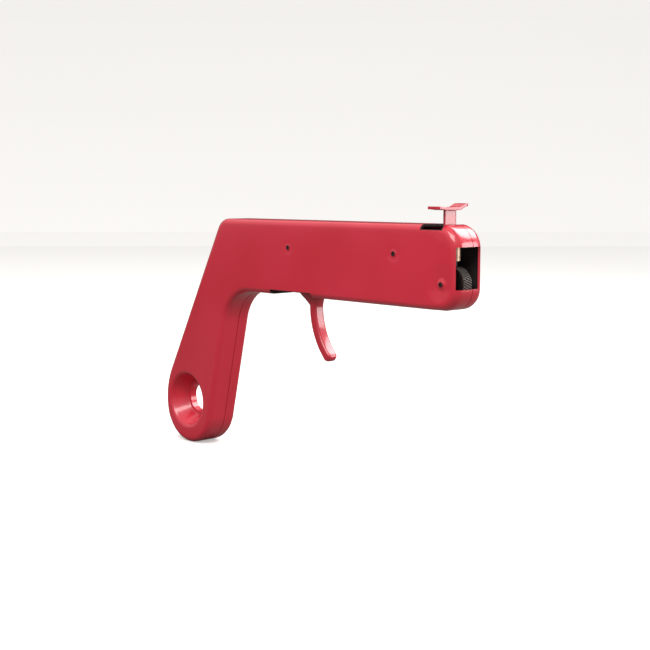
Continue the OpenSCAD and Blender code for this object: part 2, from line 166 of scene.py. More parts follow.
def ramp(tree, source, stops):
    """A colour ramp: stops are (position, colour)."""
    made = add(tree, "ValToRGB", [("Fac", source)])
    band = made.color_ramp.elements
    while len(band) < len(stops):
        band.new(0.5)
    for element, (at, colour) in zip(band, stops):
        element.position = at
        element.color = colour
    return made.outputs["Color"]


def mix(tree, factor, a, b):
    """A colour between a and b, each a colour or a socket."""
    made = add(tree, "Mix", data_type="RGBA")
    sides = {"Factor_Float": factor, "A_Color": a, "B_Color": b}
    for socket in made.inputs:
        if socket.identifier in sides:
            value = sides[socket.identifier]
            if isinstance(value, bpy.types.NodeSocket):
                tree.links.new(value, socket)
            else:
                socket.default_value = value
    return [s for s in made.outputs if s.identifier == "Result_Color"][0]


def bump(tree, height, depth, normal=None):
    """A bump of that depth in millimetres where height goes from 0 to 1."""
    made = add(tree, "Bump", [("Height", height)], Distance=depth * MM)
    if normal:
            tree.links.new(normal, made.inputs["Normal"])
    return made.outputs["Normal"]


print("red enamel in linear light:", np.round(srgb("cc2032")[:3], 3))


# %% [markdown]
# ## The sweep and the lamps
# Enamel is judged by what it mirrors. A white floor that fell back on it in full would wash the
# red out, so the floor is seen pale and reflects darker. Two soft boxes hang over the two sides
# and a third stands ahead of the muzzle, and the tent is brighter above than below. So the faces
# that look up turn pale, and the underside and the front of the handle stay deep red.

# %% How the floor and a lamp are made
def stage_surface(name, x, y, z, seen, lit):
    """A plain pale surface from two grids of points. The camera sees one colour, and what falls
    back from it onto the lighter is a darker one, as where black flags stand round a pale sweep."""
    pale = bpy.data.materials.new(name)
    pale.use_nodes = True
    tree = pale.node_tree
    tree.nodes.clear()
    front = add(tree, "BsdfPrincipled", Base_Color=srgb(seen), Roughness=0.9,
                Emission_Color=srgb(seen), Emission_Strength=0.42)
    back = add(tree, "BsdfDiffuse", Color=srgb(lit))
    choose = add(tree, "MixShader", [("Fac", add(tree, "LightPath").outputs["Is Camera Ray"])])
    tree.links.new(back.outputs[0], choose.inputs[1])
    tree.links.new(front.outputs[0], choose.inputs[2])
    finish_material(tree, choose.outputs[0])
    made = grid_mesh(name, np.stack([x, y, z], -1))
    made.data.materials.append(pale)
    return made


def lamp(name, spot, aim, size, watts, hexa="ffffff"):
    """A square soft box at spot, in metres, that looks at aim."""
    data = bpy.data.lights.new(name, "AREA")
    data.shape = "RECTANGLE"
    data.size, data.size_y = size
    data.energy = watts
    data.color = srgb(hexa)[:3]
    made = bpy.data.objects.new(name, data)
    made.location = spot
    made.rotation_euler = (Vector(aim) - Vector(spot)).to_track_quat("-Z", "Y").to_euler()
    bpy.context.scene.collection.objects.link(made)
    return made


# %% [markdown]
# ## Surfaces from grids
# Every new piece is a grid of points that numpy works out as one array. It could be drawn by hand
# or cut with booleans, but a grid keeps its rows along the real bends, so the light runs over it
# without a kink. These three helpers join the points, turn the faces out and smooth them.

# %% A mesh from a grid of points
def grid_mesh(name, points, wrap_u=False, wrap_v=False, cap=False):
    """A mesh object from a grid of points, n by m by 3, joined cell by cell. A wrap joins the
    last row or column to the first. A cap closes the two ends of a tube with a fan."""
    n, m = points.shape[:2]
    i, j = np.meshgrid(np.arange(n if wrap_u else n - 1), np.arange(m if wrap_v else m - 1),
                       indexing="ij")
    i, j = i.ravel(), j.ravel()
    k, l = (i + 1) % n, (j + 1) % m
    faces = np.stack([i * m + j, k * m + j, k * m + l, i * m + l], 1)
    vertices = points.reshape(-1, 3)
    if cap:
        middles = points[[0, -1]].mean(1)
        vertices = np.concatenate([vertices, middles])
        a = np.arange(m)
        b = (a + 1) % m
        near = np.stack([b, a, np.full(m, n * m)], 1)
        far = np.stack([a, b, np.full(m, n * m + 1)], 1) + [[(n - 1) * m, (n - 1) * m, 0]]
        faces = faces.tolist() + near.tolist() + far.tolist()
    else:
        faces = faces.tolist()
    data = bpy.data.meshes.new(name)
    data.from_pydata(vertices.tolist(), [], faces)
    data.update()
    made = bpy.data.objects.new(name, data)
    bpy.context.scene.collection.objects.link(made)
    return made


def outwards(piece, angle=40):
    """Joins doubles, turns every face of a closed piece outwards and smooths up to an angle."""
    work = bmesh.new()
    work.from_mesh(piece.data)
    bmesh.ops.remove_doubles(work, verts=work.verts, dist=0.002 * MM)
    bmesh.ops.recalc_face_normals(work, faces=work.faces)
    work.to_mesh(piece.data)
    work.free()
    smooth(piece, angle)
    return piece


def smooth(piece, angle=40):
    """Smooth shading, but for edges sharper than the angle."""
    piece.data.polygons.foreach_set("use_smooth", [True] * len(piece.data.polygons))
    piece.data.set_sharp_from_angle(angle=radians(angle))


# %% The floor
# In metres: 3 m of flat floor from 1 m before the lighter, then a quarter turn of 1 m radius that
# also climbs 1 m, all of it 6 m wide and square to the view.
FLAT_LONG, FLAT_BEFORE, BEND_R, CLIMB, HALF_WIDE = 3, 1, 1.0, 1.0, 3
span, tail = np.meshgrid(np.linspace(-HALF_WIDE, HALF_WIDE, 3), np.linspace(0, 1, 40),
                         indexing="ij")
bend_share = np.clip(tail * 2 - 1, 0, 1)
sweep_turn = bend_share * pi / 2
sweep_out = np.clip(tail * 2, 0, 1) * FLAT_LONG + np.sin(sweep_turn) * BEND_R - FLAT_BEFORE
ahead = np.array([-0.736, 0.677])
side = np.array([0.677, 0.736])
stage_surface(
    "sweep",
    ahead[0] * sweep_out + side[0] * span,
    ahead[1] * sweep_out + side[1] * span,
    foot_z * MM + (1 - np.cos(sweep_turn)) * BEND_R + bend_share * CLIMB,
    "f2f1ef", "6e6c6a",
)
print("floor at z =", round(foot_z, 1), "mm")

# %% The lamps and the tent
lamp("box_over_left", (0.24, 0.54, 0.64), (0.15, 0, 0.07), (0.5, 0.5), 5.2)
lamp("box_over_right", (0.36, -0.52, 0.62), (0.12, 0, 0.05), (0.5, 0.45), 4.4)
lamp("box_ahead", (0.75, 0.55, 0.17), (0.13, 0, 0.06), (0.4, 0.4), 2.6)

world = bpy.data.worlds.new("studio")
world.use_nodes = True
tent = world.node_tree
tent.nodes.clear()
up = add(tree=tent, kind="SeparateXYZ", links=[(0, add(tent, "TexCoord").outputs["Generated"])])
glow = add(tent, "MapRange", [("Value", up.outputs["Z"])])
glow.inputs["From Min"].default_value = -0.5
glow.inputs["From Max"].default_value = 0.7
glow.inputs["To Min"].default_value = 0.1
glow.inputs["To Max"].default_value = 0.8
lit = add(tent, "Background", [("Strength", glow.outputs[0])], Color=srgb("fffdfb"))
seen = add(tent, "Background", Color=srgb("ffffff"), Strength=1.0)
choose = add(tent, "MixShader", [("Fac", add(tent, "LightPath").outputs["Is Camera Ray"])])
tent.links.new(lit.outputs[0], choose.inputs[1])
tent.links.new(seen.outputs[0], choose.inputs[2])
add(tent, "OutputWorld", [("Surface", choose.outputs[0])])
bpy.context.scene.world = world
print(len(bpy.data.lights), "soft boxes and a tent")

# %% [markdown]
# ## Finishes
# Each finish is named for what it is on the bench. The body is stoving enamel over steel: a deep
# red base under a clear gloss, with the slight orange peel that a dipped coat dries to. It could
# be one flat red, but then nothing would tell paint from plastic. The inside of the nose is made
# near black, partly for flint dust and partly as painted shade, and the slots' cut edges and the
# drilled pin ends are made near black as painted shade. Masks worked out from the same sizes as
# the shapes put them there.

# %% Masks for flint dust and painted shade
# near black, for flint dust and painted shade inside the nose, and for painted shade on the slots'
# cut edges and in the drilled pin ends
SOOT_AND_SHADE = srgb("1a1716")
# painted shade lies within this reach of a pin's axis, and ends over the next 0.1 mm
PIN_SHADE_R = 0.9
# the muzzle seen from the side is a box with corners of this radius
MUZZLE_CORNER = 8.5


def between(tree, value, low, high):
    """A factor that rises smoothly from 0 at low to 1 at high, or falls where high is below low."""
    made = add(tree, "MapRange", [("Value", value)], interpolation_type="SMOOTHSTEP")
    made.inputs["From Min"].default_value = low
    made.inputs["From Max"].default_value = high
    return made.outputs[0]


def math(tree, operation, a, b=None):
    """A sum, product or the like of two sockets or numbers."""
    made = add(tree, "Math", operation=operation)
    for socket, value in zip(made.inputs, (a, b)):
        if isinstance(value, bpy.types.NodeSocket):
            tree.links.new(value, socket)
        elif value is not None:
            socket.default_value = value
    return made.outputs[0]


def vector(tree, operation, a, b):
    """The same for a vector: a is a socket, and b three numbers or None."""
    made = add(tree, "VectorMath", [(0, a)], operation=operation)
    if b is not None:
        made.inputs[1].default_value = b
    return made.outputs["Value" if operation == "LENGTH" else "Vector"]


def pin_reach(tree, place):
    """How far a point is from the axis of the nearest riveted pin, in mm."""
    level = vector(tree, "MULTIPLY", place, (1, 0, 1))
    reach = [vector(tree, "LENGTH", vector(tree, "SUBTRACT", level, (at[0], 0, at[1])), None)
             for at in (pivot, lever_pin, axle)]
    return math(tree, "MINIMUM", math(tree, "MINIMUM", reach[0], reach[1]), reach[2])


def dust_and_painted_shade(tree, place):
    """Where the enamel is made near black: 1 in the muzzle and inside the nose, for flint dust and
    as painted shade, and on the slots' cut edges and in the drilled pin ends, as painted shade.
    Seen from the side the muzzle is a rounded box, and the distance into it tells in from out."""
    corner = MUZZLE_CORNER
    half_long = 30
    off = vector(tree, "SUBTRACT", place, (nose_x - half_long, 0, (top_z + bot_z) / 2))
    bare = vector(tree, "ABSOLUTE", vector(tree, "MULTIPLY", off, (1, 0, 1)), None)
    past = vector(tree, "SUBTRACT", bare, (half_long - corner, 0, barrel_h / 2 - corner))
    far = vector(tree, "LENGTH", vector(tree, "MAXIMUM", past, (0, 0, 0)), None)
    axes = add(tree, "SeparateXYZ", [(0, place)]).outputs
    across = math(tree, "ABSOLUTE", axes["Y"])
    # in the muzzle and inside the nose: flint dust and painted shade
    rim = math(tree, "MULTIPLY", between(tree, far, corner - 0.35, corner - 0.75),
               between(tree, across, half_w - 1.7, half_w - 2.4))
    walls = math(tree, "MULTIPLY", between(tree, far, corner - 1.8, corner - 2.1),
                 between(tree, across, half_w - 0.6, half_w - 0.7))
    darkened = math(tree, "MAXIMUM", rim, walls)
    # painted shade in the drilled pin ends
    pin_ends = between(tree, pin_reach(tree, place), PIN_SHADE_R + 0.1, PIN_SHADE_R)
    darkened = math(tree, "MAXIMUM", darkened, pin_ends)
    # painted shade on the slots' cut edges
    for (start, stop), edge, inner in [(TOP_SLOT, top_z, -1), (LOW_SLOT, bot_z, 1)]:
        long = math(tree, "MULTIPLY", between(tree, axes["X"], start - 0.4, start - 0.2),
                    between(tree, axes["X"], stop + 0.4, stop + 0.2))
        deep = between(tree, axes["Z"], edge + inner * (SLOT_DEEP + 0.35),
                       edge + inner * (SLOT_DEEP + 0.15))
        darkened = math(tree, "MAXIMUM", darkened, math(tree, "MULTIPLY", long, deep))
    return darkened


# %% Red enamel on pressed steel
def enamel(name, deep, full, peel_mm, with_dust_and_shade):
    """Stoving enamel: a red base, broad cloudiness, orange peel peel_mm across and a clear coat.
    Where asked for, the masks make it near black: flint dust and painted shade in the nose, painted
    shade on the slots' cut edges and in the pin ends. The peel is a real 1 to 1.4 mm wide."""
    made, tree, place = new_material(name)
    cloud = add(tree, "TexNoise", [("Vector", place)], Scale=0.03, Detail=1.0, Roughness=0.4)
    colour = mix(tree, between(tree, cloud.outputs["Fac"], 0.1, 0.9), srgb(deep), srgb(full))
    speck = add(tree, "TexNoise", [("Vector", place)], Scale=2.2, Detail=2.0)
    fleck = ramp(tree, speck.outputs["Fac"], [(0.66, (0, 0, 0, 1)), (0.85, (0.2, 0.2, 0.2, 1))])
    colour = mix(tree, fleck, colour, srgb("8c1d2b"))
    peel = add(tree, "TexNoise", [("Vector", place)], Scale=1 / peel_mm, Detail=1.0)
    flow = bump(tree, peel.outputs["Fac"], 0.012)
    shade = add(tree, "BsdfPrincipled", [("Base Color", colour), ("Normal", flow)], Roughness=0.28)
    shade.inputs["IOR"].default_value = 1.5
    shade.inputs["Coat Weight"].default_value = 0.8
    shade.inputs["Coat Roughness"].default_value = 0.09
    tree.links.new(flow, shade.inputs["Coat Normal"])
    surface = shade.outputs[0]
    if with_dust_and_shade:
        # near black inside the nose for flint dust and painted shade, and painted shade on the
        # slots' cut edges and in the pin ends
        inside = dust_and_painted_shade(tree, place)
        grain = add(tree, "TexNoise", [("Vector", place)], Scale=0.7, Detail=4.0)
        dust_and_shade_tone = ramp(tree, grain.outputs["Fac"], [(0.3, SOOT_AND_SHADE), (0.75, srgb("2c2420"))])
        dust_and_shade_coat = add(tree, "BsdfPrincipled", [("Base Color", dust_and_shade_tone)], Roughness=0.85)
        blend = add(tree, "MixShader", [("Fac", inside)])
        tree.links.new(surface, blend.inputs[1])
        tree.links.new(dust_and_shade_coat.outputs[0], blend.inputs[2])
        surface = blend.outputs[0]
    finish_material(tree, surface)
    return made


body_enamel = enamel("red_stoving_enamel", "cc2032", "da2c44", 1.4, True)
dip_enamel = enamel("red_dip_enamel", "bf1f31", "cf2c40", 1.0, False)
print("enamels:", body_enamel.name, dip_enamel.name)

# %% [markdown]
# ## The works: plated, rolled, cut and drawn metals
# Behind the enamel every piece shows how it was made. Zinc plating is pale and even, rolled strip
# is streaked one way, music wire is dark with oil, file-cut steel is rough and nearly black,
# brass is pink and dull from heat, and a pressed flint is grey and matt. One function covers them
# all, because they differ only in tone, gloss and grain. A plating's true grain is far too fine
# to see, so each grain is drawn 0.25 to 0.5 mm wide.

# %% Plated, cut and drawn metals
def metal(name, light, dark, rough, grain_mm, depth_mm, stretch=(1, 1, 1), stain="3a3634"):
    """A worked metal: two tones in a fine grain, stretched along the way it was drawn, rolled or
    cut, with a little grime in broad patches."""
    made, tree, place = new_material(name)
    pulled = add(tree, "VectorMath", [(0, place)], operation="MULTIPLY")
    pulled.inputs[1].default_value = stretch
    grain = add(tree, "TexNoise", [("Vector", pulled.outputs[0])], Scale=1 / grain_mm, Detail=4.0)
    colour = ramp(tree, grain.outputs["Fac"], [(0.3, srgb(dark)), (0.7, srgb(light))])
    patch = add(tree, "TexNoise", [("Vector", place)], Scale=0.28, Detail=3.0)
    grime = ramp(tree, patch.outputs["Fac"], [(0.52, (0, 0, 0, 1)), (0.75, (0.6, 0.6, 0.6, 1))])
    colour = mix(tree, grime, colour, srgb(stain))
    uneven = add(tree, "MapRange", [("Value", grain.outputs["Fac"])])
    uneven.inputs["To Min"].default_value = rough - 0.07
    uneven.inputs["To Max"].default_value = rough + 0.1
    shade = add(tree, "BsdfPrincipled", [
        ("Base Color", colour), ("Roughness", uneven.outputs[0]),
        ("Normal", bump(tree, grain.outputs["Fac"], depth_mm))], Metallic=1.0)
    finish_material(tree, shade.outputs[0])
    return made


# even and pale, so that a shoulder shows as one clean line
zinc = metal("zinc_plated_steel", "b9bcc0", "8e9195", 0.34, 0.5, 0.01)
# long streaks along the strip
rolled = metal("cold_rolled_steel", "a4a5a8", "77787b", 0.38, 0.35, 0.008, (0.08, 1, 1))
# darker and glossier, from the oil film
wire_steel = metal("oiled_music_wire", "6d6c6f", "434246", 0.28, 0.3, 0.004)
# dark and rough, in a fine two-tone grain
file_cut = metal("file_cut_steel", "625c58", "3b3633", 0.45, 0.4, 0.015)
# drawn down its length, and tarnished pink where it runs hot
brass = metal("drawn_brass", "e6c8b0", "b8937a", 0.42, 0.5, 0.008, (1, 1, 0.1), "6a4a2a")
# pressed from powder: almost no gloss
flint_grey = metal("pressed_ferrocerium", "6b6866", "454240", 0.7, 0.25, 0.03)


print("metals:", ", ".join(m.name for m in (zinc, rolled, wire_steel, file_cut, brass)))


# %% The pins, plated within and painted outside
def riveted_pin(name):
    """A zinc-plated pin whose ends were painted with the body: enamel on the heads, plating
    between the walls, and near black in and round the drilled ends as painted shade."""
    made, tree, place = new_material(name)
    across = math(tree, "ABSOLUTE", add(tree, "SeparateXYZ", [(0, place)]).outputs["Y"])
    reach = pin_reach(tree, place)
    grain = add(tree, "TexNoise", [("Vector", place)], Scale=1.2, Detail=3.0)
    paint = ramp(tree, grain.outputs["Fac"], [(0.35, srgb("a81a2a")), (0.7, srgb("c42437"))])
    plate = ramp(tree, grain.outputs["Fac"], [(0.35, srgb("8e9195")), (0.7, srgb("b9bcc0"))])
    coat = add(tree, "BsdfPrincipled", [("Base Color", paint)], Roughness=0.28)
    bright = add(tree, "BsdfPrincipled", [("Base Color", plate)], Metallic=1.0, Roughness=0.36)
    # painted shade: near black in and round the drilled ends
    pin_end_shade = add(tree, "BsdfPrincipled", Base_Color=SOOT_AND_SHADE, Roughness=0.8)
    inner = add(tree, "MixShader", [(0, between(tree, across, half_w - 1.6, half_w - 1.5))])
    tree.links.new(bright.outputs[0], inner.inputs[1])
    tree.links.new(pin_end_shade.outputs[0], inner.inputs[2])
    painted = math(tree, "MULTIPLY", between(tree, across, half_w - 0.1, half_w),
                   between(tree, reach, PIN_SHADE_R - 0.05, PIN_SHADE_R + 0.1))
    whole = add(tree, "MixShader", [(0, painted)])
    tree.links.new(inner.outputs[0], whole.inputs[1])
    tree.links.new(coat.outputs[0], whole.inputs[2])
    finish_material(tree, whole.outputs[0])
    return made


painted_pin = riveted_pin("plated_pin_with_painted_heads")
print("pins:", painted_pin.name)

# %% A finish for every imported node
FINISH = {
    body_enamel: ["right_shell", "left_shell", "hang_eyelet"],
    dip_enamel: ["trigger_blade", "tee_strip"],
    painted_pin: ["trigger_pin", "lever_pin_rivet", "wheel_axle"],
    zinc: ["tee_rivets", "drive_pin",
           "trigger_spacer_right", "trigger_spacer_left", "lever_spacer_right",
           "lever_spacer_left", "wheel_spacer_right", "wheel_spacer_left"],
    rolled: ["flint_bracket", "rear_guide", "front_guide", "rack_bar", "wheel_pinion",
             "flint_lever"],
    file_cut: ["spark_wheel"],
    brass: ["flint_tube", "trigger_bush", "flint_plunger"],
    flint_grey: ["flint"],
    wire_steel: ["trigger_spring", "lever_spring"],
}
for finish, named in FINISH.items():
    for node in named:
        nodes[node].data.materials.clear()
        nodes[node].data.materials.append(finish)
print(sum(len(named) for named in FINISH.values()), "nodes have a finish")

# %% [markdown]
# ## The pressed body
# Each half is one blank of sheet steel, folded round a former: a narrow rim, a fold of 2.4 mm
# outside radius and a flat side with a deep dish for the hanging hole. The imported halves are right
# in size, but their fold is the same everywhere and their dish is a plain cone. Here the rim and
# the fold are one grid, carried along the outline, the flat side is a net of triangles between
# the outline and the dish, and the dish is a turned surface. Solidify then gives the sheet its
# thickness, as the real blank has it. The outline comes first, since all the rest hangs on it.

# %% Outline of the body
# Arcs in order from the lower nose corner, anticlockwise: centre, radius, start and end angle.
# The last one is the hollow corner under the barrel and runs the other way.
FRONT_LEAN, REAR_LEAN = radians(13.6), radians(29.2)
END_R, BLEND_R, FILLET_R, REAR_R, NOSE_TOP_R, NOSE_LOW_R = 17.5, 30, 18, 7.5, 9, 8
end_c = np.array([0.8, foot_z + END_R])
# the straight back of the handle passes this far from the centre of its lower end
END_TO_REAR = END_R + 2.4
rear_way = np.array([sin(REAR_LEAN), cos(REAR_LEAN)])
rear_out = np.array([-cos(REAR_LEAN), sin(REAR_LEAN)])
front_way = np.array([sin(FRONT_LEAN), cos(FRONT_LEAN)])
front_out = np.array([cos(FRONT_LEAN), -sin(FRONT_LEAN)])


def along(start, way, height):
    """The point on a line from start, along way, at that height."""
    return start + way * (height - start[1]) / way[1]


blend_up = ((BLEND_R - END_R) ** 2 - (BLEND_R - END_TO_REAR) ** 2) ** 0.5
blend_c = end_c + rear_way * blend_up - rear_out * (BLEND_R - END_TO_REAR)
rear_c = along(end_c + rear_out * (END_TO_REAR - REAR_R), rear_way, top_z - REAR_R)
fillet_c = along(end_c + front_out * (END_R + FILLET_R), front_way, bot_z - FILLET_R)
nose_top_c = np.array([nose_x - NOSE_TOP_R, top_z - NOSE_TOP_R])
nose_low_c = np.array([nose_x - NOSE_LOW_R, bot_z + NOSE_LOW_R])
rear_turn = 180 - degrees(REAR_LEAN)
blend_turn = 180 + degrees(np.arctan2(*(blend_c - end_c)[::-1]))
front_turn = 360 - degrees(FRONT_LEAN)
CORNERS = [
    (nose_low_c, NOSE_LOW_R, -90, 0),
    (nose_top_c, NOSE_TOP_R, 0, 90),
    (rear_c, REAR_R, 90, rear_turn),
    (blend_c, BLEND_R, rear_turn, blend_turn),
    (end_c, END_R, blend_turn, front_turn),
    (fillet_c, -FILLET_R, front_turn - 180, 90),
]
print(len(CORNERS), "arcs; handle end of radius", END_R, "mm")


# %% Points along the outline
def outline(step_deg=3.0, step_mm=2.5):
    """Points round the body and the way out of it at each. On an arc the point is the centre plus
    the radius times the ray, on a straight it runs evenly from one arc to the next, and the ends
    of the slots and of the opening are always among the points."""
    spots, outs = [], []
    for k, (centre, radius, start, stop) in enumerate(CORNERS):
        turns = list(np.linspace(start, stop, max(3, int(abs(stop - start) / step_deg) + 1)))
        if k == 1:
            turns += [degrees(asin((MUZZLE[1] - centre[1]) / radius)),
                      degrees(acos((TOP_SLOT[1] - centre[0]) / radius))]
            turns.sort()
        rays = np.stack([np.cos(np.radians(turns)), np.sin(np.radians(turns))], 1)
        arc = centre + abs(radius) * rays
        centre2, radius2, start2, _ = CORNERS[(k + 1) % len(CORNERS)]
        arc2 = centre2 + abs(radius2) * np.array([cos(radians(start2)), sin(radians(start2))])
        length = hypot(*(arc2 - arc[-1]))
        even = np.linspace(0, 1, int(length / step_mm) + 2)[1:-1]
        shares = list(even) if length > 0.01 else []
        cuts = {1: TOP_SLOT[:1], len(CORNERS) - 1: LOW_SLOT}.get(k, ())
        shares = np.array(sorted(shares + [(x - arc[-1][0]) / (arc2 - arc[-1])[0] for x in cuts]))
        out = rays[-1] * np.sign(radius)
        spots += [arc, arc[-1] + shares[:, None] * (arc2 - arc[-1])]
        outs += [rays * np.sign(radius), np.tile(out, (len(shares), 1))]
    spots, outs = np.concatenate(spots), np.concatenate(outs)
    keep = np.hypot(*(spots - np.roll(spots, 1, 0)).T) > 0.02
    return spots[keep], outs[keep]


spots, outs = outline()
print("outline:", len(spots), "stations")

# %% [markdown]
# ## Fold, dimples and dish
# The press leaves more than a box. The fold opens a little where the blank was worked round the
# nose, the side is drawn in round each pin as the rivets pull up, and the dish flows in and out
# of the side with soft bends. They could be sculpted, but each is a plain function of distance.

# %% Fold and dimples
BOWLS = [(axle, 9.2, 0.5), (pivot, 3.4, 0.16), (lever_pin, 3.6, 0.2)]


def fold_radius(spots):
    """The fold is 2.4 mm, and opens to 3.6 mm where the blank was worked round the nose."""
    near = np.clip((spots[:, 0] - (nose_x - 16)) / 14, 0, 1)
    return 2.4 + 1.2 * near * near * (3 - 2 * near)


def hollow(x, z):
    """How far the side is drawn in, in mm, round each riveted pin: a bowl whose depth falls as the
    square of one minus the squared share of its radius, with a small flat seat under the rivet."""
    depth = np.zeros_like(x)
    for at, outer, deep in BOWLS:
        away = np.hypot(x - at[0], z - at[1])
        seat = np.clip((away - 1.25) / 1.0, 0, 1)
        bowl = np.clip(1 - (away / outer) ** 2, 0, 1) ** 2
        depth += deep * bowl * seat * seat * (3 - 2 * seat)
    return depth


def rounded(points, radii, steps=6):
    """A path with its inner corners rounded: each corner is an arc of its radius, tangent to both
    sides."""
    points = [np.array(p, float) for p in points]
    path = [points[0]]
    for before, at, after, radius in zip(points, points[1:], points[2:], radii):
        a = (before - at) / np.linalg.norm(before - at)
        b = (after - at) / np.linalg.norm(after - at)
        half = np.arccos(np.clip(a @ b, -1, 1)) / 2
        reach = radius / np.tan(half)
        centre = at + (a + b) / np.linalg.norm(a + b) * radius / np.sin(half)
        first, last = at + a * reach - centre, at + b * reach - centre
        whole = pi - 2 * half
        for k in range(steps + 1):
            t = k / steps
            path.append(centre + (np.sin((1 - t) * whole) * first + np.sin(t * whole) * last)
                        / np.sin(whole))
    path.append(points[-1])
    return np.array(path)


def inside(points, loop):
    """Whether each point lies inside a closed loop, by counting the sides that a ray crosses."""
    x, z = points[:, :1], points[:, 1:]
    a, b = loop, np.roll(loop, -1, 0)
    spans = (a[:, 1] > z) != (b[:, 1] > z)
    rise = np.where(b[:, 1] == a[:, 1], 1, b[:, 1] - a[:, 1])
    hits = x < (b[:, 0] - a[:, 0]) * (z - a[:, 1]) / rise + a[:, 0]
    return (spans & hits).sum(1) % 2 == 1


# the dish: its rim, its floor and the hole, its two bends, and the points round it
DISH_R, DISH_FLOOR_R, DISH_HOLE_R = 13.9, 8.2, 7.0
DISH_LIP, DISH_BENDS, AROUND = 1.3, [2.2, 1.2], 96
print("dimples at", len(BOWLS), "pins, dish", 2 * DISH_R, "mm wide")


# %% One pressed half


